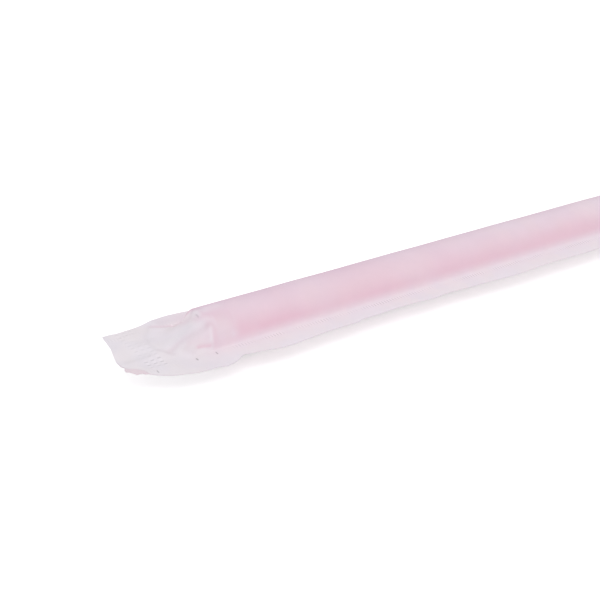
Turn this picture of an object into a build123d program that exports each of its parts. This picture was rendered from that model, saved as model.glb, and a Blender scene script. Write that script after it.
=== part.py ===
from build123d import *
import os
from math import acos, cos, hypot, pi, radians, sin, tan

# A paper-wrapped drinking straw, lying on a table.
# A thin plastic tube lies between two paper strips. The strips are crimped together along both
# sides and across both ends. Past each end of the tube they drop over its rim, gather into pleats
# and meet in a flat crimped seal. X runs along the straw, Y across it and Z is up. The origin is
# under the middle of the straw, on the flat spot that the wrapper rests on.

# Straw, in millimetres
STRAW_LENGTH = 197.0
STRAW_DIAMETER = 7.6
STRAW_WALL = 0.2

# Paper, in millimetres and degrees
PAPER = 0.08            # thickness of one strip
UPPER_EASE = 0.1        # room between the straw and the upper strip
LOWER_EASE = 0.25       # room between the straw and the lower strip
REST_EASE = 0.05        # room under the straw, where the lower strip lies flat
END_EASE = 0.3          # room past each end of the straw before the paper drops over its rim
BOND_GAP = 0.02         # between the two strips where they are crimped together
LEAN = 6.6              # how far the plane of the crimps leans down on the near side

# Crimps and edges, in millimetres
NEAR_CRIMP = 0.45       # from the straw's side to the bend where the near fin starts
FAR_CRIMP = 0.45        # from the straw's side to the bend where the far fin starts
NEAR_FIN = 3.3          # from the near bend to the strips' near edge
FAR_FIN = 2.4           # from the far bend to the strips' far edge
SLOW_WANDER = 0.38      # how far the near fin's edge wanders in and out, slowly
QUICK_WANDER = 0.1      # and quickly
SLOW_WAVE = 49.0        # length of one slow wave
QUICK_WAVE = 13.0       # length of one quick wave
FLAP_WIDENING = 0.5     # how much wider each side is past the straw's end, where the paper lies flat
WIDENING_RUN = 3.0      # length over which it widens

# Ends, in millimetres
POUCH = 5.7             # from the rim, where the paper starts to drop, to the end seal
PLEAT = 0.5             # height of the pleats in a pouch
TORN_SEAL = 5.4         # the seal of the torn end at -X, along its far side
PLAIN_SEAL = 6.0        # the seal of the plain end at +X
CUT_SLANT = 2.0         # how much further the torn end's cut stands out on its near half
CORNER_LENGTH = 8.4     # length of the torn end's rounded near corner
CORNER_DEPTH = 2.6      # how far that corner comes in from the near edge
NICK = 0.7              # depth of the ragged nicks beside that corner
LOWER_LIP = 0.35        # how far the lower strip shows past the upper one at the torn end

# Shape of the pleats: where each crease of a pouch meets the seal, as a share of the way from the
# near bend to the far one, and how high it stands half way there, in pleat heights
UPPER_CREASE_SHARES = ((0.08, 0.4), (0.24, -1.0), (0.54, 0.9), (0.84, -1.0), (0.93, 0.3))
LOWER_CREASE_SHARES = ((0.12, -0.3), (0.3, 0.7), (0.5, -0.8), (0.7, 0.7), (0.88, -0.3))
POUCH_STATIONS = (0.0, 0.16, 0.34, 0.54, 0.77, 1.0)     # sections of a pouch, as shares of its length
DROP = 1.4                                              # how steeply the paper drops past the rim
EDGE_POINTS = 60                                        # points of a fin's wandering edge
NEAR_PHASE = 0.61                                       # where the near edge's waves start, in radians
FAR_PHASE = 2.9                                         # where the far edge's waves start, in radians
FAR_CALM = 0.5                                          # the far edge's wander, over the near one's

# What follows from those sizes
RADIUS = STRAW_DIAMETER / 2
AXIS_HEIGHT = PAPER + REST_EASE + RADIUS
ROUND_END = STRAW_LENGTH / 2 + END_EASE
POUCH_END = ROUND_END + POUCH
NEAR_SEAM = RADIUS + NEAR_CRIMP
FAR_SEAM = RADIUS + FAR_CRIMP
NEAR_EDGE = NEAR_SEAM + NEAR_FIN
FAR_EDGE = FAR_SEAM + FAR_FIN
TORN_CORNER = -POUCH_END - TORN_SEAL
TORN_TIP = TORN_CORNER - CUT_SLANT
PLAIN_CUT = POUCH_END + PLAIN_SEAL
UNCUT = SLOW_WANDER + QUICK_WANDER + FLAP_WIDENING      # spare width of a strip before it is cut
UPPER_RADIUS = RADIUS + UPPER_EASE
LOWER_RADIUS = RADIUS + LOWER_EASE


def polar(radius, angle):
    """A point of the section, at an angle in radians from the far side."""
    return (radius * cos(angle), radius * sin(angle))


def seam_shift(angle, offset):
    """How far the bend at a fin's root moves out on a face at that offset from the inner one."""
    return offset * tan((pi / 2 - angle) / 2)


def upper_section(offset):
    """Nodes of the upper strip round the straw, from the near edge to the far one.

    The paper follows the straw over its top and leaves it along tangents to the bends.
    An offset of 0 is the strip's inner face and PAPER its outer one.
    """
    near = acos(UPPER_RADIUS / NEAR_SEAM)
    far = acos(UPPER_RADIUS / FAR_SEAM)
    spans = len(UPPER_CREASE_SHARES) - 1
    step = (pi - near - far) / spans
    crown = [polar(UPPER_RADIUS + offset, pi - near - step * i) for i in range(spans + 1)]
    near_fin = [(-NEAR_EDGE - UNCUT, offset), (-NEAR_SEAM - seam_shift(near, offset), offset)]
    far_fin = [(FAR_SEAM + seam_shift(far, offset), offset), (FAR_EDGE + UNCUT, offset)]
    return near_fin + crown + far_fin


def lower_section(offset):
    """Nodes of the lower strip, in the same order. It hangs round the straw, with a flat spot below."""
    near = acos(LOWER_RADIUS / NEAR_SEAM)
    far = acos(LOWER_RADIUS / FAR_SEAM)
    down = -pi / 2 - radians(LEAN)
    flat = acos((RADIUS + REST_EASE + offset) / (LOWER_RADIUS + offset))
    angles = (near - pi, down - flat, down + flat, (down + flat - far) / 2, -far)
    crown = [polar(LOWER_RADIUS + offset, angle) for angle in angles]
    level = -BOND_GAP - offset
    near_fin = [(-NEAR_EDGE - UNCUT, level), (-NEAR_SEAM - seam_shift(near, offset), level)]
    far_fin = [(FAR_SEAM + seam_shift(far, offset), level), (FAR_EDGE + UNCUT, level)]
    return near_fin + crown + far_fin


def pouch_section(round_nodes, creases, share):
    """Nodes of a strip at a share of the way from the straw's rim to the end seal."""
    level = round_nodes[0][1]
    stand = (1 - share) ** DROP
    swell = PLEAT * sin(pi * share)
    crown = []
    for (across, height), (place, pleat) in zip(round_nodes[2:-2], creases):
        flat_across = -NEAR_SEAM + (NEAR_SEAM + FAR_SEAM) * place
        crown.append((
            flat_across + (across - flat_across) * stand,
            level + (height - level) * stand + swell * pleat,
        ))
    return round_nodes[:2] + crown + round_nodes[-2:]


def thicken(nodes, amount):
    """The same nodes moved square to the strip, with mitred bends."""
    moved = [(nodes[0][0], nodes[0][1] + amount)]
    for before, here, after in zip(nodes, nodes[1:], nodes[2:]):
        first = Vector(here[0] - before[0], here[1] - before[1]).normalized()
        second = Vector(after[0] - here[0], after[1] - here[1]).normalized()
        bisector = Vector(-first.Y - second.Y, first.X + second.X)
        reach = 2 * amount / bisector.length ** 2
        moved.append((here[0] + reach * bisector.X, here[1] + reach * bisector.Y))
    return moved + [(nodes[-1][0], nodes[-1][1] + amount)]


def stretch(x, start, end, radius):
    """One stretch of the section at x: an arc about the straw's axis, or a straight line."""
    first = Vector(x, *start)
    last = Vector(x, *end)
    if radius is None:
        return Edge.make_line(first, last)
    across, height = start[0] + end[0], start[1] + end[1]
    reach = radius / hypot(across, height)
    return Edge.make_three_point_arc(first, Vector(x, across * reach, height * reach), last)


def section_wire(x, inner, outer, arcs=(), radius=None):
    """The closed outline of a strip's section at x. The stretches numbered in arcs are round."""
    edges = []
    for i in range(len(inner) - 1):
        edges.append(stretch(x, inner[i], inner[i + 1], radius if i in arcs else None))
    edges.append(stretch(x, inner[-1], outer[-1], None))
    for i in reversed(range(len(outer) - 1)):
        edges.append(stretch(x, outer[i + 1], outer[i], radius + PAPER if i in arcs else None))
    edges.append(stretch(x, outer[0], inner[0], None))
    return Wire(edges)


def uncut_strip(section, radius, arcs, creases, side):
    """One strip before it is cut to its outline: round middle, two pleated pouches, two flat ends."""
    inner = section(0.0)
    outer = section(PAPER)

    def round_wire(x):
        return section_wire(x, inner, outer, arcs, radius)

    middle = Solid.extrude(Face(round_wire(-ROUND_END)), Vector(2 * ROUND_END, 0, 0))
    ends = []
    for way, cut in ((-1, TORN_TIP - LOWER_LIP), (1, PLAIN_CUT)):
        wires = [round_wire(way * ROUND_END)]
        for share in POUCH_STATIONS[1:]:
            nodes = pouch_section(inner, creases, share)
            station = way * (ROUND_END + POUCH * share)
            wires.append(section_wire(station, nodes, thicken(nodes, side * PAPER)))
        ends.append(Solid.make_loft(wires))
        flat_end = section_wire(cut, nodes, thicken(nodes, side * PAPER))
        ends.append(Solid.make_loft([wires[-1], flat_end], ruled=True))
    return middle.fuse(*ends)


def wander(x, phase):
    """How far a fin's edge strays outwards at x."""
    slow = SLOW_WANDER * sin(2 * pi * x / SLOW_WAVE + phase)
    quick = QUICK_WANDER * sin(2 * pi * x / QUICK_WAVE + phase)
    return slow + quick


def widening(x):
    """How much further out both edges stand at x, where the paper has left the straw behind."""
    along = min(max((abs(x) - ROUND_END) / WIDENING_RUN + 1, 0.0), 1.0)
    return FLAP_WIDENING * along * along * (3 - 2 * along)


def edge_points(start, edge):
    """Points of one long edge, from start to the plain end's cut. The edge is a function of x."""
    places = [start + (PLAIN_CUT - start) * i / EDGE_POINTS for i in range(EDGE_POINTS + 1)]
    return [(x, edge(x)) for x in places]


def outline(lip):
    """The cut outline, seen square to the crimps: two wavy sides, a plain end and a torn end."""
    far = edge_points(TORN_CORNER, lambda x: FAR_EDGE + FAR_CALM * wander(x, FAR_PHASE) + widening(x))
    near = edge_points(TORN_TIP + CORNER_LENGTH, lambda x: -NEAR_EDGE - wander(x, NEAR_PHASE) - widening(x))
    tip = TORN_TIP - lip
    corner_in = -NEAR_EDGE + CORNER_DEPTH
    ragged = (
        (tip + 2 * NICK, corner_in),
        (tip + NICK, corner_in + NICK / 4),
        (tip + NICK / 2, corner_in + NICK),
        (tip + NICK, corner_in + 3 * NICK / 2),
        (tip, corner_in + 3 * NICK),
    )
    rounding = (TORN_TIP + CORNER_LENGTH / 2, (near[0][1] + corner_in) / 2 - NICK)
    bow = ((tip + TORN_CORNER) / 2 - CUT_SLANT / 8, (ragged[-1][1] + FAR_EDGE) / 2)
    edges = [
        Spline(*far),
        Line(far[-1], near[-1]),
        Spline(*reversed(near)),
        Spline(near[0], rounding, ragged[0]),
        *Polyline(*ragged).edges(),
        Spline(ragged[-1], bow, far[0]),
    ]
    return Face(Wire(edges))


def cut_and_laid(strip, lip):
    """A strip cut to its outline, then leant over as it lies on the table."""
    depth = LOWER_RADIUS + PLEAT + PAPER
    cutter = Solid.extrude(Pos(0, 0, -depth) * outline(lip), Vector(0, 0, 2 * depth))
    return Pos(0, 0, AXIS_HEIGHT) * Rot(LEAN, 0, 0) * (strip & cutter)


def upper_paper_strip():
    """The strip over the straw. The stretches between its creases are round on the straw."""
    strip = uncut_strip(upper_section, UPPER_RADIUS, (2, 3, 4, 5), UPPER_CREASE_SHARES, 1)
    return cut_and_laid(strip, 0.0)


def lower_paper_strip():
    """The strip under the straw. Its stretch number 3 is the flat spot that rests on the table."""
    strip = uncut_strip(lower_section, LOWER_RADIUS, (2, 4, 5), LOWER_CREASE_SHARES, -1)
    return cut_and_laid(strip, LOWER_LIP)


def straw():
    """The plain plastic tube."""
    ring = Circle(RADIUS) - Circle(RADIUS - STRAW_WALL)
    tube = extrude(Plane.YZ.offset(-STRAW_LENGTH / 2) * ring, STRAW_LENGTH)
    return Pos(0, 0, AXIS_HEIGHT) * tube


def main():
    os.makedirs("parts", exist_ok=True)
    for node in (straw, upper_paper_strip, lower_paper_strip):
        export_step(node(), f"parts/{node.__name__}.step")


main()
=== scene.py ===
# %% [markdown]
# # A drinking straw in its paper sleeve
# The straw is a thin plastic tube. Its sleeve is two strips of thin paper, one over the straw and one
# under it, crimped together along both sides and across both ends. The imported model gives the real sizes,
# and this lesson makes the paper: it cuts each strip flat, forms it round the straw, gathers its ends and
# crimps it.

# %% Load the frame
import math

import bpy
import numpy as np
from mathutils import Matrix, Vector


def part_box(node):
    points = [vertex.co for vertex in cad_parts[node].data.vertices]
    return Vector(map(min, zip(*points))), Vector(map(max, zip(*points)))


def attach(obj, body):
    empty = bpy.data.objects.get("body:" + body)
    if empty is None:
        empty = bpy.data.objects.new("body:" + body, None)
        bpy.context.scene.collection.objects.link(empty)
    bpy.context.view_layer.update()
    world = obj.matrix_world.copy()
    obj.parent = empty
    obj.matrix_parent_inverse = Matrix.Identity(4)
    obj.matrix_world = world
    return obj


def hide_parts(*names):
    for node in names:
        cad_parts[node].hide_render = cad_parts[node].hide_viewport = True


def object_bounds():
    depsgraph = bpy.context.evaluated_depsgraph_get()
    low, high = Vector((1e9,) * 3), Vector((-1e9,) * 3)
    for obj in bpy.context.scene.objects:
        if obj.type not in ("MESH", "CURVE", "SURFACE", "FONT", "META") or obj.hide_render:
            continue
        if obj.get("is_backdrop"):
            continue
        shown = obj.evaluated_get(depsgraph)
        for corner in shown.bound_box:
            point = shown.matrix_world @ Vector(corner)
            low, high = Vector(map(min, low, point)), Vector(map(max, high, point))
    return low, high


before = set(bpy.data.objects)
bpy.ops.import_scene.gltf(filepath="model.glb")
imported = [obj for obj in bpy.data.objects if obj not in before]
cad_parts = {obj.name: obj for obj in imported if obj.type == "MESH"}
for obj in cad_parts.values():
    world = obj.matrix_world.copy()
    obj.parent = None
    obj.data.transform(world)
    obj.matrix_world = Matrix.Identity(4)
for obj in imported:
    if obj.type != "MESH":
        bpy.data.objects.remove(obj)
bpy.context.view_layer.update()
bpy.ops.object.select_all(action="DESELECT")
print("nodes:", sorted(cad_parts))

# %% [markdown]
# Paper is easiest to think of in millimetres, so all shapes are worked out in millimetres and turned into
# metres only when they are written to a mesh. The straw's own size and height come from the frame.

# %% Sizes from the frame
MM = 0.001
straw_low, straw_high = (np.array(corner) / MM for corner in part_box("straw"))
HALF_LENGTH = (straw_high[0] - straw_low[0]) / 2
RADIUS = (straw_high[1] - straw_low[1]) / 2
AXIS_HEIGHT = (straw_high[2] + straw_low[2]) / 2
print(f"straw {2 * HALF_LENGTH:.1f} mm long, {2 * RADIUS:.2f} mm across, axis {AXIS_HEIGHT:.2f} mm up")

# %% [markdown]
# The camera stands where the photographer's did: close, a little above the straw, looking along it so that
# it runs off to the right. A long lens keeps the straw nearly parallel.

# %% Camera
CAMERA_PLACE = (-188.585, -147.205, 83.335)
CAMERA_TURN = math.radians(36.04)
CAMERA_DIP = math.radians(23.26)
LENS, SENSOR = 83.2, 36
NEAREST_SEEN = 5
bpy.ops.object.camera_add(
    location=[c * MM for c in CAMERA_PLACE], rotation=(math.pi / 2 - CAMERA_DIP, 0, -CAMERA_TURN)
)
camera = bpy.context.object
camera.data.lens = LENS
camera.data.sensor_width = SENSOR
camera.data.clip_start = NEAREST_SEEN * MM
bpy.context.scene.camera = camera
to_straw = math.dist(CAMERA_PLACE, (-HALF_LENGTH, 0, AXIS_HEIGHT))
print(f"camera {to_straw:.0f} mm from the end of the straw")

# %% [markdown]
# The floor is plain white, as a studio's paper sweep is. A floor that only takes light would come out grey,
# so it also shines a little for the camera, and it still takes the straw's soft shadow. Its finish is a
# small net of shader nodes. Three helpers keep such nets readable: one starts an empty material, one adds a
# node with its settings, and one adds a sum or a product and links its terms.

# %% Floor
FLOOR_SIZE = 6
FLOOR_DEPTH = 0.02
FLOOR_GREY = 0.8
FLOOR_GLOW = 0.56


def new_material(name):
    material = bpy.data.materials.new(name)
    material.use_nodes = True
    material.node_tree.nodes.clear()
    return material, material.node_tree.nodes, material.node_tree.links


def add_node(nodes, kind, **values):
    node = nodes.new("ShaderNode" + kind)
    for name, value in values.items():
        setattr(node, name, value)
    return node


def number(nodes, links, operation, *terms):
    node = add_node(nodes, "Math", operation=operation)
    for socket, term in zip(node.inputs, terms):
        if isinstance(term, (int, float)):
            socket.default_value = term
        else:
            links.new(term, socket)
    return node.outputs[0]


def white_floor():
    material, nodes, links = new_material("white floor")
    output = add_node(nodes, "OutputMaterial")
    seen = add_node(nodes, "AddShader")
    diffuse = add_node(nodes, "BsdfDiffuse")
    diffuse.inputs["Color"].default_value = (FLOOR_GREY, FLOOR_GREY, FLOOR_GREY, 1)
    glow = add_node(nodes, "Emission")
    path = add_node(nodes, "LightPath")
    strength = number(nodes, links, "ADD", path.outputs["Is Camera Ray"], path.outputs["Is Glossy Ray"])
    strength = number(nodes, links, "ADD", strength, path.outputs["Is Transmission Ray"])
    strength = number(nodes, links, "MULTIPLY", strength, FLOOR_GLOW)
    links.new(strength, glow.inputs["Strength"])
    links.new(diffuse.outputs[0], seen.inputs[0])
    links.new(glow.outputs[0], seen.inputs[1])
    links.new(seen.outputs[0], output.inputs["Surface"])
    return material


bpy.ops.mesh.primitive_plane_add(size=FLOOR_SIZE, location=(0, 0, -FLOOR_DEPTH * MM))
floor = bpy.context.object
floor.name = "floor"
floor.data.materials.append(white_floor())
floor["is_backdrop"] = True
print(f"floor {FLOOR_SIZE} m wide, {FLOOR_DEPTH} mm below the sleeve")

# %% [markdown]
# The light is a plain white studio: an even white world and a broad soft key light, above the camera's side
# of the straw. The world alone would leave the paper flat, and a small hard lamp would cut its folds out too
# sharply.

# %% World and key light
WORLD_STRENGTH = 0.76
KEY_PLACE, KEY_AIM = (-0.4, -0.6, 0.8), (-0.08, 0, 0)
KEY_SIZE, KEY_POWER = 0.5, 2.4
world = bpy.data.worlds.new("studio")
world.use_nodes = True
world.node_tree.nodes["Background"].inputs["Color"].default_value = (1, 1, 1, 1)
world.node_tree.nodes["Background"].inputs["Strength"].default_value = WORLD_STRENGTH
bpy.context.scene.world = world
bpy.context.scene.view_settings.view_transform = "Standard"

bpy.ops.object.light_add(type="AREA", location=KEY_PLACE)
key = bpy.context.object
key.name = "key"
key.data.shape = "DISK"
key.data.size = KEY_SIZE
key.data.energy = KEY_POWER
aim = np.array(KEY_AIM) - np.array(key.location)
key_dip = math.asin(aim[2] / np.linalg.norm(aim))
key.rotation_euler = (math.pi / 2 + key_dip, 0, math.atan2(-aim[0], aim[1]))
print(f"key light {np.linalg.norm(aim):.2f} m away")

# %% [markdown]
# Each strip starts flat. A grid is added with wide columns along the straw, where the paper is plain, and
# narrow ones at its ends, where it gathers. The ends are then subdivided once more. In the flat grid, X is
# the place along the straw in millimetres, and Y is only a row number from -1 at the near edge to 1 at the
# far edge.

# %% Flat strips
MIDDLE_COLUMNS, END_COLUMNS, ROWS = 224, 104, 44
COLUMNS = MIDDLE_COLUMNS + 2 * END_COLUMNS
MIDDLE_END = 90.0
POUCH, FLAP_LENGTH = 6.0, 13.0
END_SHARES = (0.0, 0.22, 0.26, 0.46, 0.66, 1.0)
PAST_PLACES = (MIDDLE_END - HALF_LENGTH, -0.6, -0.1, 1.7, POUCH, FLAP_LENGTH)
END_PLACES = [HALF_LENGTH + past for past in PAST_PLACES]


def vertex_places(piece):
    places = np.empty(len(piece.data.vertices) * 3)
    piece.data.vertices.foreach_get("co", places)
    return places.reshape(-1, 3)


def move_vertices(piece, places):
    piece.data.vertices.foreach_set("co", places.ravel())
    piece.data.update()


def flat_strip(name):
    bpy.ops.mesh.primitive_grid_add(x_subdivisions=COLUMNS, y_subdivisions=ROWS, size=2)
    strip = bpy.context.object
    strip.name = name
    flat = vertex_places(strip)
    column = np.abs(flat[:, 0]) * COLUMNS / 2
    share = (column - MIDDLE_COLUMNS / 2) / END_COLUMNS
    middle = column / (MIDDLE_COLUMNS / 2) * MIDDLE_END
    places = np.where(share > 0, np.interp(share, END_SHARES, END_PLACES), middle)
    flat[:, 0] = np.sign(flat[:, 0]) * places
    move_vertices(strip, flat)
    bpy.ops.object.mode_set(mode="EDIT")
    bpy.ops.mesh.select_mode(type="FACE")
    bpy.ops.mesh.select_all(action="DESELECT")
    bpy.ops.object.mode_set(mode="OBJECT")
    for face in strip.data.polygons:
        face.select = abs(face.center[0]) > MIDDLE_END
    bpy.ops.object.mode_set(mode="EDIT")
    bpy.ops.mesh.subdivide(number_cuts=1)
    bpy.ops.object.mode_set(mode="OBJECT")
    return strip


print(f"a flat strip starts as {COLUMNS} by {ROWS} faces, {2 * END_PLACES[-1]:.0f} mm long")

# %% [markdown]
# Round the straw, a strip follows a circle over the top and leaves it along two tangents, one to each bend
# where a crimped fin starts. Paper doesn't bend sharply, so the section is smoothed a little along its
# length. It is kept as a table of places by girth, which is the way along the paper from the crown. The
# lower strip has the same section upside down.

# %% Section round the straw
BEND = 4.25
PAPER = 0.05
SNUG = 0.11
BOND_GAP = 0.005
LAYER = (PAPER + BOND_GAP) / 2
BEND_SOFTNESS = 0.22
STEP, TABLE_END, SMOOTH_STEPS = 0.02, 12, 40

ROUND = RADIUS + SNUG + PAPER / 2
TOUCH = math.acos(ROUND / BEND)
TOUCH_GIRTH = ROUND * (math.pi / 2 - TOUCH)
BEND_GIRTH = TOUCH_GIRTH + math.sqrt(BEND**2 - ROUND**2)
girth = np.arange(-TABLE_END, TABLE_END + STEP / 2, STEP)
from_crown = np.abs(girth)
turn = np.minimum(from_crown, TOUCH_GIRTH) / ROUND
flank = np.clip(from_crown - TOUCH_GIRTH, 0, BEND_GIRTH - TOUCH_GIRTH)
fin = np.maximum(from_crown - BEND_GIRTH, 0)
sharp_across = np.sign(girth) * (ROUND * np.sin(turn) + flank * math.sin(TOUCH) + fin)
sharp_height = ROUND * np.cos(turn) - flank * math.cos(TOUCH)
kernel = np.exp(-((np.arange(-SMOOTH_STEPS, SMOOTH_STEPS + 1) * STEP / BEND_SOFTNESS) ** 2) / 2)
kernel /= kernel.sum()
inside = slice(SMOOTH_STEPS, -SMOOTH_STEPS)
section_girth = girth[inside]
section_across = np.convolve(sharp_across, kernel, "same")[inside]
section_height = np.convolve(sharp_height, kernel, "same")[inside]
slope_across = np.gradient(section_across, STEP)
slope_height = np.gradient(section_height, STEP)

# %% [markdown]
# The long edges are cut a little unevenly, and the visible end is torn: its cut slants, and its near corner
# is rounded and ragged, with the lower strip showing past the upper one. The other end is cut square. A torn
# outline could be cut out of the mesh, but that leaves slivers, so the rows and columns are stretched to it
# instead. The torn edges are lists of a distance past the straw's end and a distance out from the straw's
# middle. The cuts are lists of a place across and a distance past the straw's end.

# %% Outline of the cut paper
NEAR_EDGE, FAR_EDGE = 7.55, 6.65
END_FLARE = 0.5
PLAIN_LENGTH = 12.0
TORN_NEAR = (
    (-98, 7.5), (-85, 7.3), (-70, 7.4), (-63, 7.65), (-53, 7.7), (-40, 7.1), (-37.6, 7.2), (-36.9, 7.5),
    (-28, 7.1), (-22.8, 7.05), (-22.2, 7.38), (-16, 7.5), (-11, 7.95), (-8.5, 8.1), (-4, 7.45), (-2.6, 7.1),
    (-0.7, 8.1), (0.8, 8.35), (2, 8.0), (5, 7.8), (7.2, 7.4), (10.2, 6.5), (13, 5.2),
)
TORN_FAR = ((-2.7, 6.75), (1.7, 6.85), (3.6, 6.85), (7.5, 6.3), (10.6, 6.2), (13, 6.35))
UPPER_CUT = (
    (-5.2, 10.8), (-4.2, 11.0), (-3.2, 11.8), (-2.5, 12.6), (-1.7, 13.0), (-0.2, 13.0),
    (1.4, 12.65), (3.1, 12.1), (4.7, 11.87), (5.5, 11.78), (6.3, 11.5),
)
LOWER_CUT = (
    (-5.2, 10.9), (-5.0, 11.4), (-4.6, 11.6), (-4.5, 12.3), (-3.4, 12.9), (-3.2, 13.2),
    (-2.5, 13.1), (-2.15, 12.8), (-1.6, 13.1), (-0.2, 13.0), (1.4, 12.55), (3.1, 12.05),
    (4.7, 11.8), (5.5, 11.7), (6.3, 11.5),
)


def ramp(start, end, x):
    """Rises smoothly from 0 at start to 1 at end."""
    t = np.clip((x - start) / (end - start), 0, 1)
    return t * t * (3 - 2 * t)


def wander(x, phase):
    """How far an edge strays from straight: a long wave and a short one."""
    tau = 2 * math.pi
    return 0.38 * np.sin(tau * x / 49 + phase) + 0.1 * np.sin(tau * x / 13 + phase)


def along_points(x, points):
    places, values = zip(*points)
    return np.interp(x, places, values)


def edge_places(x, row):
    past = np.abs(x) - HALF_LENGTH
    near = NEAR_EDGE + wander(x, 0.61) + END_FLARE * ramp(-3, 0, past)
    near = np.where(x < 0, along_points(past, TORN_NEAR), near)
    far = FAR_EDGE + 0.5 * wander(x, 2.9) + END_FLARE * ramp(-3, 0, past)
    far = far + (along_points(past, TORN_FAR) - far) * ramp(-4.5, -3, past) * (x < 0)
    return np.where(row < 0, near, far)


upper_tip, lower_tip = (max(past for place, past in cut) for cut in (UPPER_CUT, LOWER_CUT))
print(f"the torn end reaches {upper_tip:.1f} mm past the straw, its lower strip {lower_tip:.1f} mm")

# %% [markdown]
# Past the straw's rim the paper drops like a tent from its pole, so its folds run from the rim out to the
# end seal. They could be sculpted, but strokes are easier to place and to move. Each stroke is a line of
# points, given as a distance past the straw's end and a place across the flat paper. A fold has a depth in
# millimetres, below 0 where it is pushed in, and a width. Its warmth says how much more red is shown there:
# partly the red of the straw where the paper lies nearer, and partly red light painted into hollows and
# shade. Its shade is painted shade, darker where less light falls, and below 0 a painted highlight. A mark
# has no depth, only painted shade and warmth. Snags are short ticks where the paper was pinched, each with
# its place and its painted shade; the last is a painted highlight on a fold.

# %% Folds, marks and snags
FOLDS = (  # points, depth, width, warmth, shade
    (((4.8, 5.7), (3.5, 4.9), (2.1, 4.2), (1.8, 2.5)), -0.1, 0.3, 0.22, 0.12),
    (((1.85, 2.8), (1.6, 0.9), (1.1, -0.4), (0.4, -1.0)), -0.1, 0.3, 0.0, 0.0),
    (
        ((-0.3, -1.6), (0.7, -1.6), (1.6, -1.4), (3.0, -0.8), (4.1, -0.8), (5.4, -1.3), (5.9, -1.6)),
        -0.16, 0.42, 0.12, 0.3,
    ),
    (((2.5, -2.75), (1.4, -3.1), (0.5, -3.5)), -0.12, 0.25, 0.4, 0.1),
    (((4.0, 6.3), (5.0, 5.3), (6.3, 3.7), (7.0, 1.4), (7.0, -0.6)), -0.06, 0.35, 0.0, 0.25),
    (((7.0, -0.2), (5.9, -1.4), (5.2, -2.4)), -0.08, 0.35, 0.05, 0.35),
    (((7.8, -1.1), (9.3, -1.1), (10.7, -1.4), (12.6, -1.4)), 0.1, 0.45, 0.0, 0.25),
    # a painted highlight along the ridge where the paper crosses the rim's near side
    (((0.0, -2.0), (0.25, -2.4), (0.5, -3.1)), 0.06, 0.26, -0.15, -0.1),
)
MARKS = (  # points, width, warmth, shade
    # painted light where the lamp shines through the paper that stands off the straw
    (((0.2, 3.6), (0.5, 2.0), (0.7, 0.6)), 0.9, 0.04, -0.3),
    (((0.35, -0.7), (0.6, -0.5), (0.85, -0.3)), 0.35, 0.25, 0.05),
    (((0.9, -0.25), (1.2, 0.8), (1.5, 2.1), (1.3, 3.8)), 0.4, 0.13, 0.0),
    (((-0.7, 0.45), (0.05, 0.65), (0.25, 1.05)), 0.25, 0.15, 0.45),
    (((-0.9, -0.8), (-0.1, -0.5), (-0.1, 0.2)), 0.4, 0.25, 0.05),
    # painted light on the steep far slope just past the rim
    (((0.3, 1.3), (0.4, 1.6), (0.6, 2.0)), 0.3, -0.1, -0.35),
    (((-0.2, -1.75), (0.4, -1.55)), 0.28, 0.1, 0.3),
    (((-0.9, -1.25), (-3.8, -1.5)), 0.9, 0.2, 0.15),
    (((-0.4, -2.1), (-0.2, -3.2)), 0.45, 0.15, 0.1),
    (((4.0, -1.9), (2.8, -3.5)), 0.6, 0.05, 0.3),
    # painted shade along the far fin
    (((-3.5, 5.7), (3.8, 5.7)), 1.0, 0.08, 0.15),
    (((0.2, -2.7), (1.7, -2.3), (3.4, -1.5)), 0.55, 0.15, 0.05),
    (((-7.5, -3.15), (-2.6, -3.2)), 0.35, -0.28, 0.0),
)
# the last snag is a painted highlight on a fold
SNAGS = ((0.3, -4.9, 3.0), (3.4, -4.9, 3.5), (9.6, -5.15, 2.5), (0.6, -0.15, 1.3), (1.8, 4.1, -1.3))
print(len(FOLDS), "folds,", len(MARKS), "marks and", len(SNAGS), "snags")

# %% [markdown]
# A stroke works like a soft pencil: it is strongest on its line and fades beside it and towards its ends, so
# that no fold starts with a step. All the strokes are added up at every point of the paper. Both ends get
# the folds and marks, and only the torn end has snags.

# %% Strokes
SNAG_HALF_LENGTH, SNAG_WIDTH = 0.2, 0.09


def stroke(past, across, points, width):
    """1 on the line of points, fading to 0 beside it and towards its ends."""
    nearest = np.full(past.shape, np.inf)
    along = np.zeros(past.shape)
    run = 0.0
    for (p0, a0), (p1, a1) in zip(points, points[1:]):
        dp, da = p1 - p0, a1 - a0
        length = math.hypot(dp, da)
        t = np.clip(((past - p0) * dp + (across - a0) * da) / length**2, 0, 1)
        away = np.hypot(past - p0 - t * dp, across - a0 - t * da)
        along = np.where(away < nearest, run + t * length, along)
        nearest = np.minimum(nearest, away)
        run += length
    ends = np.minimum(along, run - along)
    return np.exp(-((nearest / width) ** 2)) * ramp(-0.2, 0.12 * run, ends)


def draw_strokes(x, past, across):
    """The folds' depth, the painted shade and the warmth at every point."""
    depths, painted_shades, warmths = np.zeros((3, len(x)))
    for points, depth, width, warmth, shade in FOLDS:
        line = stroke(past, across, points, width)
        depths += depth * line
        painted_shades += shade * line
        warmths += warmth * line
    for points, width, warmth, shade in MARKS:
        line = stroke(past, across, points, width)
        painted_shades += shade * line
        warmths += warmth * line
    for place, middle, shade in SNAGS:
        tick = ((place, middle + SNAG_HALF_LENGTH), (place, middle - SNAG_HALF_LENGTH))
        painted_shades += shade * stroke(past, across, tick, SNAG_WIDTH) * (x < 0)
    return depths, painted_shades, warmths


try_past, try_across = (axis.ravel() for axis in np.mgrid[0:13:0.1, -6:6:0.1])
try_depths = draw_strokes(-HALF_LENGTH - try_past, try_past, try_across)[0]
print(f"the folds reach from {try_depths.min():.2f} to {try_depths.max():.2f} mm")

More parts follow.
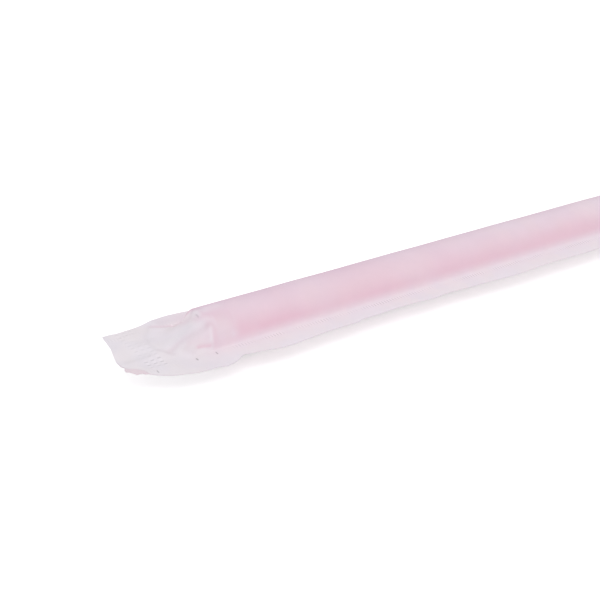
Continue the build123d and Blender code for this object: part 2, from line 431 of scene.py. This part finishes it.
# %% [markdown]
# Handled paper is covered in small flat facets. Smooth noise would look like cloth, so a sum of softened
# zigzag waves in many directions gives them: between its creases the sum is nearly flat, as crumpled paper
# is. The waves are seeded, so each run is the same.

# %% Crumple
def zigzags(seed, count, longest, shortest):
    chance = np.random.default_rng(seed)
    lengths = np.exp(chance.uniform(math.log(shortest), math.log(longest), count))
    return list(zip(lengths, chance.uniform(0, math.pi, count), chance.uniform(0, 2 * math.pi, count)))


def crumple(past, across, waves, softness=0.93):
    total = np.zeros(past.shape)
    for length, angle, phase in waves:
        t = 2 * math.pi / length * (past * math.cos(angle) + across * math.sin(angle)) + phase
        bent = 0.25 * np.sin(0.6 * across + 0.4 * past + 3 * phase)
        total += length * np.arcsin(softness * np.sin(t + bent))
    return total


FLAP_WAVES = zigzags(11, 7, 9, 2.5)
UPPER_WAVES = zigzags(23, 6, 8, 2.2)
LOWER_WAVES = zigzags(37, 6, 8, 2.2)
SLOW_WAVES = zigzags(5, 5, 40, 9)
flap_lengths = [length for length, angle, phase in FLAP_WAVES]
print(f"the flaps crumple in waves of {min(flap_lengths):.1f} to {max(flap_lengths):.1f} mm")

# %% [markdown]
# Forming starts with the rows. Each row of the flat grid becomes a girth: evenly over the part that touches
# the straw, then to the bend, over the crimped band and out to the cut edge. Laid flat, the same girth is a
# place across, and the folds and the crimps are drawn on that.

# %% Rows to girth
TEETH_WIDTH = 1.1
TOUCH_ROW, BEND_ROW, TEETH_ROW = 0.5, 0.68, 0.88


def rows_to_girth(x, row):
    """The way along the section from the crown, below 0 on the near side."""
    size = np.abs(row)
    edge = edge_places(x, row) - BEND
    teeth_end = np.minimum(TEETH_WIDTH, 0.6 * edge)
    way = np.interp(size, [0, TOUCH_ROW, BEND_ROW], [0, TOUCH_GIRTH, BEND_GIRTH])
    first = np.clip((size - BEND_ROW) / (TEETH_ROW - BEND_ROW), 0, 1)
    last = np.clip((size - TEETH_ROW) / (1 - TEETH_ROW), 0, 1)
    return (way + first * teeth_end + last * (edge - teeth_end)) * np.sign(row)


def laid_flat(s):
    """The place across at girth s, with the part over the straw squeezed between the bends."""
    way = np.abs(s)
    return np.where(way < BEND_GIRTH, way / BEND_GIRTH * BEND, way - BEND_GIRTH + BEND) * np.sign(s)


edge_girth = rows_to_girth(np.zeros(2), np.array([-1.0, 1.0]))
print(f"halfway along, the edges lie {-edge_girth[0]:.1f} and {edge_girth[1]:.1f} mm from the crown")

# %% [markdown]
# Over the straw the paper isn't quite tight. It bulges a little at the crown, lifts off the near side close
# to the rim, and lies in slow waves along the straw. How far it stands off matters for the looks, because
# the red shows most where the paper is close.

# %% Round the straw
BULGE, LIFT, SLOW_HEIGHT = 0.05, 0.16, 0.0008


def round_straw(x, past, s):
    """Where the paper would be, across and up from the straw's axis, if the straw had no end."""
    way = np.abs(s)
    on_straw = 1 - ramp(TOUCH_GIRTH, BEND_GIRTH, way)
    settled = ramp(-1.7, 0.2, past) * ramp(-1, 2, s)
    bulge = BULGE * np.cos(math.pi / 2 * np.minimum(way / TOUCH_GIRTH, 1)) * (1 - settled)
    lift = LIFT * ramp(-4.8, -1.8, past) * (1 - ramp(-3, -0.8, s))
    slow = SLOW_HEIGHT * crumple(x, 3 * s, SLOW_WAVES, 0.6)
    ease = np.maximum(bulge + (lift + slow) * on_straw, 0)
    across = np.interp(s, section_girth, section_across) - ease * np.interp(s, section_girth, slope_height)
    height = np.interp(s, section_girth, section_height) + ease * np.interp(s, section_girth, slope_across)
    return across, height


def off_straw(across, height):
    return np.hypot(across, height + LAYER) - RADIUS


crown = round_straw(np.zeros(1), np.full(1, -HALF_LENGTH), np.zeros(1))
print(f"halfway along, the paper's middle lies {off_straw(*crown)[0]:.2f} mm off the straw at the crown")

# %% [markdown]
# Past the rim the section shrinks to nothing over the length of the pouch, up to the seal. Straight lines
# from the rim to the seal would look like folded card. Here the paper first sinks from the round section to
# a low tent with its crest on the near side, softly on the near side and steeply on the far one. Past the
# pouch, the flat seal is stretched to the line of the cut.

# %% Pouch and seal
RIM_EASE = 0.1
CREST = -0.8
TENT_HOLLOW = 1.8


def drop_past_rim(past, s, across_round, height_round):
    """The place across, and half the opening between the two strips."""
    soft = 0.05 + 0.3 * (1 - ramp(0.3, 1.8, s))
    drop = past - RIM_EASE - 0.7 * soft
    taper = np.clip(1 - (np.hypot(drop, soft) + drop) / 2 / (POUCH - RIM_EASE), 0, 1)
    stand = taper**TENT_HOLLOW
    crest = CREST * ramp(0, 2.5, past)
    fall = np.where(s > crest, (s - crest) / (BEND_GIRTH - crest), (crest - s) / (BEND_GIRTH + crest))
    fall = np.minimum(fall, 1)
    low = ROUND * (1 - fall + np.cos(math.pi / 2 * fall) ** 2) / 2
    sink = np.maximum(past + 0.2, 0) / (1.4 - 0.9 * ramp(0.4, 2.0, s))
    opening = (height_round + (low - height_round) * (1 - np.exp(-(sink**2)))) * stand
    across_flat = laid_flat(s)
    return across_flat + (across_round - across_flat) * stand**0.5, opening


def stretch_to_cut(x, past, across, cut):
    """The place along the straw and the distance past its end, with the seal as long as the cut asks."""
    end = np.where(x < 0, along_points(across, cut), PLAIN_LENGTH)
    beyond = past - POUCH
    past = np.where(beyond > 0, POUCH + beyond * (end - POUCH) / (FLAP_LENGTH - POUCH), past)
    return np.sign(x) * (HALF_LENGTH + past), past


try_past = np.array([0.0, 1.0, 3.0, POUCH])
crown = round_straw(-HALF_LENGTH - try_past, try_past, np.zeros(4))
crown_heights = drop_past_rim(try_past, np.zeros(4), *crown)[1]
print("crown", ", ".join(f"{height:.1f}" for height in crown_heights), "mm over the fins past the rim")

# %% [markdown]
# The folds and the crumple are heights over the plane of the fins. Where the pouch is open, each strip has
# its own. Where the strips are bonded, they move together, or they would cut through each other. The loose
# fins flutter gently along the straw, and the far one rises a little beside the rim.

# %% Folds and flutter
LOWER_FOLD = -0.5
POUCH_CRUMPLE, FLAP_CRUMPLE = 0.012, 0.009
FAR_RISE = 0.2


def height_over_fins(side, x, past, across, opening, depths, own_waves):
    open_part = np.clip(opening, 0, 1)
    free = ramp(0.2, 2.0, past)
    opening = opening + depths * open_part * (1 if side > 0 else LOWER_FOLD)
    opening = opening + POUCH_CRUMPLE * crumple(past, across, own_waves) * free * open_part
    opening = np.maximum(opening, 0)

    hand = np.sign(across)
    tail = np.clip((np.abs(across) - BEND) / 3, 0, 1.3)
    flutter = 0.1 * np.sin(x / 4.3 + 2 * hand) + 0.06 * np.sin(x / 2.3 + hand)
    shared = tail * flutter * (1 - 0.7 * free)
    shared = shared + FAR_RISE * ramp(-6, 0, past) * (1 - ramp(0.6, 4.6, past)) * ramp(3.7, 4.8, across)
    shared = shared + (FLAP_CRUMPLE * crumple(past, across, FLAP_WAVES) + depths) * free * (1 - open_part)
    return shared + side * (opening + LAYER)


fin_x = np.arange(-60.0, 60.0)
fin_past = np.abs(fin_x) - HALF_LENGTH
fin_edge = np.full(len(fin_x), -NEAR_EDGE)
closed = np.zeros(len(fin_x))
fin_heights = height_over_fins(1, fin_x, fin_past, fin_edge, closed, closed, UPPER_WAVES)
print(f"the near fin flutters between {fin_heights.min():.2f} and {fin_heights.max():.2f} mm")

# %% [markdown]
# The paper is thin enough for the straw's red to show through where it touches. Translucent paper could do
# this by itself, but it renders slowly and with grain, so how much shows is worked out here and kept on the
# mesh. It is most where the paper touches, with a faint glow farther off. It is less by the rim, where the
# paper begins to lift, and less towards the middle of the straw, where the sleeve is looser.

# %% Red that shows through
TOUCH_RED, TOUCH_REACH = 0.58, 0.15
GLOW_RED, GLOW_REACH = 0.2, 2.8
RIM_FADE, CROWN_FADE, LOOSE_FADE = 0.38, 0.26, 0.24


def red_showing(past, s, across_round, height_round):
    gap = np.hypot(np.maximum(past, 0), off_straw(across_round, height_round))
    touching = TOUCH_RED * np.exp(-np.maximum(gap - PAPER / 2 - SNUG, 0) / TOUCH_REACH)
    red = touching + GLOW_RED * np.exp(-gap / GLOW_REACH)
    fade = RIM_FADE * ramp(-1.6, 0.2, past) * ramp(-3.0, -1.2, s) * (1 - ramp(0.8, 1.8, s))
    fade = fade + CROWN_FADE * ramp(-4.2, -2.8, past) * ramp(-1.1, 0.2, s) * (1 - ramp(0.4, 1.4, s))
    loose = LOOSE_FADE * ramp(15, 60, -past) * (0.4 + 0.6 * ramp(-4.2, -1.8, s))
    loose = loose * (1 - 0.6 * ramp(-0.3, 1, s))
    return red * (1 - fade) * (1 - loose)


try_past = np.array([-20.0, 0.0, 1.0, POUCH])
crown = round_straw(-HALF_LENGTH - try_past, try_past, np.zeros(4))
crown_reds = red_showing(try_past, np.zeros(4), *crown)
print("red at the crown, from 20 mm before the rim on:", ", ".join(f"{red:.2f}" for red in crown_reds))

# %% [markdown]
# Now one pass forms a strip. The plane of the fins leans, so the finished section is turned about the
# straw's axis, and where it would go under the floor it rests on it. Three numbers stay on the mesh for the
# material: how much red shows, the place across, and how much darker the paper is made. Both the red and
# the darkening take in the strokes' warmth and painted shade. Where the lower strip shows past the upper
# one, its lip is painted pinker and darker, as a painted shadow under the upper strip's edge. All the paper
# from just before the rim outwards is also made a little darker.

# %% Form a strip
LEAN = math.radians(6.6)
# the lip's red and shade are a painted shadow; the seal's shade darkens all paper from before the rim out
LIP_SHADOW_RED, LIP_SHADE, SEAL_SHADE = 0.24, 0.25, 0.3


def keep_number(piece, name, values):
    piece.data.attributes.new(name, "FLOAT", "POINT").data.foreach_set("value", values)


def form(strip, side, cut, own_waves):
    flat = vertex_places(strip)
    x, row = flat[:, 0], flat[:, 1]
    past = np.abs(x) - HALF_LENGTH
    s = rows_to_girth(x, row)
    across_flat = laid_flat(s)
    across_round, height_round = round_straw(x, past, s)
    across, opening = drop_past_rim(past, s, across_round, height_round)
    x, past = stretch_to_cut(x, past, across, cut)
    depths, painted_shades, warmths = draw_strokes(x, past, across_flat)
    height = height_over_fins(side, x, past, across, opening, depths, own_waves)

    y = across * math.cos(LEAN) - height * math.sin(LEAN)
    z = AXIS_HEIGHT + across * math.sin(LEAN) + height * math.cos(LEAN)
    z = np.maximum(z, PAPER / 2)
    move_vertices(strip, np.stack([x, y, z], axis=1) * MM)

    # painted shadow on the lower strip's lip, where it shows past the upper cut
    lip_shadow = ramp(-0.4, 0.3, past - along_points(across, UPPER_CUT)) * (x < 0) * (side < 0)
    red = red_showing(past, s, across_round, height_round)
    # red showing through, with the strokes' warmth and the lip's painted shadow added
    keep_number(strip, "red_through_and_painted_shade", red + (warmths + LIP_SHADOW_RED * lip_shadow) * (1 - red))
    keep_number(strip, "across", across_flat)
    # painted shade of the strokes and the lip, and a little darkening of all paper past the rim
    keep_number(strip, "marks_and_painted_shade", painted_shades + LIP_SHADE * lip_shadow + SEAL_SHADE * ramp(-2, 3, past))


upper = flat_strip("sleeve_top_strip")
form(upper, 1, UPPER_CUT, UPPER_WAVES)
print(f"{upper.name} is formed and {vertex_places(upper)[:, 2].max() / MM:.2f} mm high")

# %% [markdown]
# A formed strip is still a surface with no thickness. Solidify gives it the paper's, half to each side, so
# that at the crimps the strips lie together without touching. The lower strip is made the same way as the
# upper one.

# %% Paper thickness
SMOOTH_ANGLE = math.radians(60)


def thicken_strip(strip, node):
    solidify = strip.modifiers.new("paper thickness", "SOLIDIFY")
    solidify.thickness = PAPER * MM
    solidify.offset = 0
    bpy.ops.object.modifier_apply(modifier=solidify.name)
    bpy.ops.object.shade_smooth_by_angle(angle=SMOOTH_ANGLE)
    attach(strip, "root")
    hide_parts(node)


thicken_strip(upper, "upper_paper_strip")
lower = flat_strip("sleeve_bottom_strip")
form(lower, -1, LOWER_CUT, LOWER_WAVES)
thicken_strip(lower, "lower_paper_strip")

# %% [markdown]
# Toothed wheels crimp the two strips together with a band of fine teeth along each fin. The teeth are finer
# than the mesh, so they are a pattern in the material, drawn in millimetres along the straw and across the
# flat paper. A tooth is a notch from a cosine, and a band is a mask between two places. The wheels bite
# unevenly, so patches of noise wear some of the teeth away, and they fade towards the ends of the straw.

# %% Teeth along the fins
TOOTH_PITCH = 0.48
TOOTH_BAND, TOOTH_SOFTNESS = (0.2, 0.85), 0.2


def smooth_range(nodes, links, value, low, high):
    node = add_node(nodes, "MapRange", interpolation_type="SMOOTHSTEP")
    node.inputs["From Min"].default_value = low
    node.inputs["From Max"].default_value = high
    links.new(value, node.inputs["Value"])
    return node.outputs["Result"]


def notches(nodes, links, place, pitch, middle, low, high):
    """A row of soft notches, 1 in the middle of each one and 0 between them."""
    offset = number(nodes, links, "SUBTRACT", place, middle)
    angle = number(nodes, links, "MULTIPLY", offset, 2 * math.pi / pitch)
    return smooth_range(nodes, links, number(nodes, links, "COSINE", angle), low, high)


def between(nodes, links, value, low, high, soft):
    """A mask that is 1 from low to high."""
    start = smooth_range(nodes, links, value, low - soft / 2, low + soft / 2)
    end = smooth_range(nodes, links, value, high + soft / 2, high - soft / 2)
    return number(nodes, links, "MULTIPLY", start, end)


def product(nodes, links, first, *others):
    for other in others:
        first = number(nodes, links, "MULTIPLY", first, other)
    return first


def fin_teeth(nodes, links, along, past, across, patches):
    beside = number(nodes, links, "SUBTRACT", number(nodes, links, "ABSOLUTE", across), BEND)
    band = between(nodes, links, beside, *TOOTH_BAND, TOOTH_SOFTNESS)
    bitten = smooth_range(nodes, links, patches, 0.32, 0.66)
    clear = number(nodes, links, "MULTIPLY_ADD", smooth_range(nodes, links, past, -6, 0), -0.75, 1)
    teeth = notches(nodes, links, along, TOOTH_PITCH, 0, 0.1, 0.95)
    teeth = number(nodes, links, "SUBTRACT", teeth, 0.2)
    return product(nodes, links, teeth, band, bitten, clear)


print(f"about {2 * HALF_LENGTH / TOOTH_PITCH:.0f} teeth along each fin")

# %% [markdown]
# Across each end seal the jaws that close it leave rows of short dashes, clearest on the near half. They are
# made as the teeth are, by one row of notches across the paper and one along it. Teeth and dashes are added
# up to one number: above 0 where the paper is bitten, and below 0 on the ribs that are pushed up beside.

# %% Dashes across the seals
ROW_PITCH, DASH_PITCH = 0.87, 0.98
FIRST_ROW, FIRST_DASH = -2.93, 8.6
SEAL_BAND, SEAL_SOFTNESS = (7.2, 10.1), 0.5


def noise(nodes, links, place, scale, detail):
    node = add_node(nodes, "TexNoise")
    node.inputs["Scale"].default_value = scale
    node.inputs["Detail"].default_value = detail
    links.new(place, node.inputs["Vector"])
    return node.outputs["Fac"]


def seal_dashes(nodes, links, past, across, patches):
    seal = between(nodes, links, past, *SEAL_BAND, SEAL_SOFTNESS)
    near_half = smooth_range(nodes, links, across, -1.2, -2.6)
    near_half = number(nodes, links, "MULTIPLY_ADD", near_half, 0.65, 0.28)
    inside_fin = smooth_range(nodes, links, across, -4.7, -4.3)
    near_half = number(nodes, links, "MULTIPLY", near_half, inside_fin)
    worn = smooth_range(nodes, links, patches, 0.3, 0.6)
    rows = notches(nodes, links, across, ROW_PITCH, FIRST_ROW, 0.1, 0.95)
    rows = number(nodes, links, "SUBTRACT", rows, 0.25)
    dashes = notches(nodes, links, past, DASH_PITCH, FIRST_DASH, -0.5, 0.3)
    return product(nodes, links, rows, dashes, seal, near_half, worn)


def crimps(nodes, links, place, across):
    """Above 0 where the paper is bitten, and below 0 on the ribs beside."""
    split = add_node(nodes, "SeparateXYZ")
    links.new(place, split.inputs[0])
    along = number(nodes, links, "MULTIPLY", split.outputs["X"], 1 / MM)
    past = number(nodes, links, "SUBTRACT", number(nodes, links, "ABSOLUTE", along), HALF_LENGTH)
    patches = noise(nodes, links, place, 300, 2)
    teeth = fin_teeth(nodes, links, along, past, across, patches)
    dashes = seal_dashes(nodes, links, past, across, patches)
    return number(nodes, links, "ADD", teeth, dashes)


print(f"dashes every {DASH_PITCH} mm, in rows {ROW_PITCH} mm apart")

# %% [markdown]
# The paper's colour is mixed from two papers. The bare one drifts between a cool and a warm white, as pulp
# does. The one over red is warmer on the flanks and more lilac and darker over the crown, a painted shade
# for the cooler, dimmer light that falls there. The number on the mesh says how much of each shows.

# %% Colour of the paper
BARE_COOL, BARE_WARM = (0.871, 0.822, 0.883, 1), (0.889, 0.83, 0.869, 1)
# the second colour, over the crown, holds painted shade: more lilac and darker, for the cooler, dimmer light
RED_FLANK, RED_CROWN_PAINTED_SHADE = (0.83, 0.485, 0.605, 1), (0.755, 0.487, 0.63, 1)


def mix(nodes, links, factor, first, second):
    """A mix of two colours, each one written out or linked."""
    node = add_node(nodes, "Mix", data_type="RGBA")
    links.new(factor, node.inputs["Factor"])
    for socket, colour in ((node.inputs["A"], first), (node.inputs["B"], second)):
        if isinstance(colour, tuple):
            socket.default_value = colour
        else:
            links.new(colour, socket)
    return node.outputs["Result"]


def paper_colour(nodes, links, place, across):
    near = add_node(nodes, "Attribute", attribute_name="red_through_and_painted_shade").outputs["Fac"]
    drift = smooth_range(nodes, links, noise(nodes, links, place, 230, 2), 0.35, 0.65)
    bare = mix(nodes, links, drift, BARE_COOL, BARE_WARM)
    # the crown's lilac mix is painted shade
    near_side = smooth_range(nodes, links, across, -2.5, 0.9)
    far_side = smooth_range(nodes, links, across, 2.7, 1.1)
    crown = number(nodes, links, "MULTIPLY", near_side, far_side)
    return mix(nodes, links, near, bare, mix(nodes, links, crown, RED_FLANK, RED_CROWN_PAINTED_SHADE))


print("bare paper from", BARE_COOL[:3], "to", BARE_WARM[:3])

# %% [markdown]
# Clouds in the pulp vary its tone. The number on the mesh then darkens it, mostly with painted shade, and
# the crimps darken it in their bites as painted shade, with a painted highlight on the ribs beside. The
# crimps and fibres also raise a fine bump. The same could be painted as a texture, but nodes stay sharp at
# any distance. Sleeve paper is nearly matt, so it is rough and hardly mirrors.

# %% Paper
CLOUD_DARK, CLOUD_LIGHT = 0.97, 1.03
# FOLD_SHADE scales the mesh's painted shade, and BITE_SHADE the crimps' painted shade and highlight
FOLD_SHADE, BITE_SHADE, BITE_RELIEF = -0.14, -0.25, -1.5
PAPER_ROUGHNESS, PAPER_MIRROR = 0.7, 0.25
FIBRE_STRENGTH, FIBRE_HEIGHT = 0.2, 0.04


def paper_shade(nodes, links, place, bites):
    marks_and_painted_shade = add_node(nodes, "Attribute", attribute_name="marks_and_painted_shade").outputs["Fac"]
    clouds = add_node(nodes, "MapRange")
    clouds.inputs["To Min"].default_value = CLOUD_DARK
    clouds.inputs["To Max"].default_value = CLOUD_LIGHT
    links.new(noise(nodes, links, place, 500, 3), clouds.inputs["Value"])
    # painted shade of the strokes and the lip from the mesh, and the darkening past the rim
    shade = number(nodes, links, "MULTIPLY_ADD", marks_and_painted_shade, FOLD_SHADE, clouds.outputs["Result"])
    # the crimps: painted shade in the bites and a painted highlight on the ribs
    return number(nodes, links, "MULTIPLY_ADD", bites, BITE_SHADE, shade)


def sleeve_paper():
    material, nodes, links = new_material("sleeve paper")
    output = add_node(nodes, "OutputMaterial")
    paper = add_node(nodes, "BsdfPrincipled")
    paper.inputs["Roughness"].default_value = PAPER_ROUGHNESS
    paper.inputs["Specular IOR Level"].default_value = PAPER_MIRROR
    place = add_node(nodes, "TexCoord").outputs["Object"]
    across = add_node(nodes, "Attribute", attribute_name="across").outputs["Fac"]
    bites = crimps(nodes, links, place, across)
    pulp = add_node(nodes, "Mix", data_type="RGBA", blend_type="MULTIPLY")
    pulp.inputs["Factor"].default_value = 1
    links.new(paper_colour(nodes, links, place, across), pulp.inputs["A"])
    links.new(paper_shade(nodes, links, place, bites), pulp.inputs["B"])
    links.new(pulp.outputs["Result"], paper.inputs["Base Color"])
    fibre = noise(nodes, links, place, 4000, 4)
    bump = add_node(nodes, "Bump")
    bump.inputs["Strength"].default_value = FIBRE_STRENGTH
    bump.inputs["Distance"].default_value = FIBRE_HEIGHT * MM
    links.new(number(nodes, links, "MULTIPLY_ADD", bites, BITE_RELIEF, fibre), bump.inputs["Height"])
    links.new(bump.outputs[0], paper.inputs["Normal"])
    links.new(paper.outputs[0], output.inputs["Surface"])
    return material


paper_material = sleeve_paper()
for strip in (upper, lower):
    strip.data.materials.append(paper_material)
print("paper of", len(paper_material.node_tree.nodes), "nodes on both strips")

# %% [markdown]
# The straw is drawn as a tube of red polypropylene through a ring-shaped die, which leaves fine lines along
# it, and a knife then cuts it to length, which pales the plastic at the cut. Its shape is right as it comes
# from the frame, so it only gets a material. The lines are a noise pattern that is stretched along the straw.

# %% Straw
STRAW_DARK, STRAW_LIGHT = (0.58, 0.014, 0.018, 1), (0.72, 0.026, 0.03, 1)
CUT_PINK = (0.8, 0.16, 0.16, 1)
CUT_DEPTH, CUT_SHARE = 0.3, 0.6
LINE_STRENGTH, LINE_HEIGHT = 0.3, 0.02


def straw_colour(nodes, links, place, lines):
    red = mix(nodes, links, lines, STRAW_DARK, STRAW_LIGHT)
    split = add_node(nodes, "SeparateXYZ")
    links.new(place, split.inputs[0])
    length = number(nodes, links, "ABSOLUTE", split.outputs["X"])
    cut = smooth_range(nodes, links, length, (HALF_LENGTH - CUT_DEPTH) * MM, HALF_LENGTH * MM)
    return mix(nodes, links, number(nodes, links, "MULTIPLY", cut, CUT_SHARE), red, CUT_PINK)


def straw_plastic():
    material, nodes, links = new_material("straw plastic")
    output = add_node(nodes, "OutputMaterial")
    plastic = add_node(nodes, "BsdfPrincipled")
    place = add_node(nodes, "TexCoord").outputs["Object"]
    stretch = add_node(nodes, "Mapping")
    stretch.inputs["Scale"].default_value = (0.01, 1, 1)
    links.new(place, stretch.inputs["Vector"])
    lines = noise(nodes, links, stretch.outputs["Vector"], 2200, 3)
    links.new(straw_colour(nodes, links, place, lines), plastic.inputs["Base Color"])
    links.new(number(nodes, links, "MULTIPLY_ADD", lines, 0.16, 0.22), plastic.inputs["Roughness"])
    bump = add_node(nodes, "Bump")
    bump.inputs["Strength"].default_value = LINE_STRENGTH
    bump.inputs["Distance"].default_value = LINE_HEIGHT * MM
    links.new(lines, bump.inputs["Height"])
    links.new(bump.outputs[0], plastic.inputs["Normal"])
    links.new(plastic.outputs[0], output.inputs["Surface"])
    return material


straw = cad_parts["straw"]
straw.data.materials.clear()
straw.data.materials.append(straw_plastic())
print("straw in red plastic")

# %% Measure and finish
lowest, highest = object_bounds()
print("finished model:", " by ".join(f"{(b - a) / MM:.1f}" for a, b in zip(lowest, highest)), "mm")
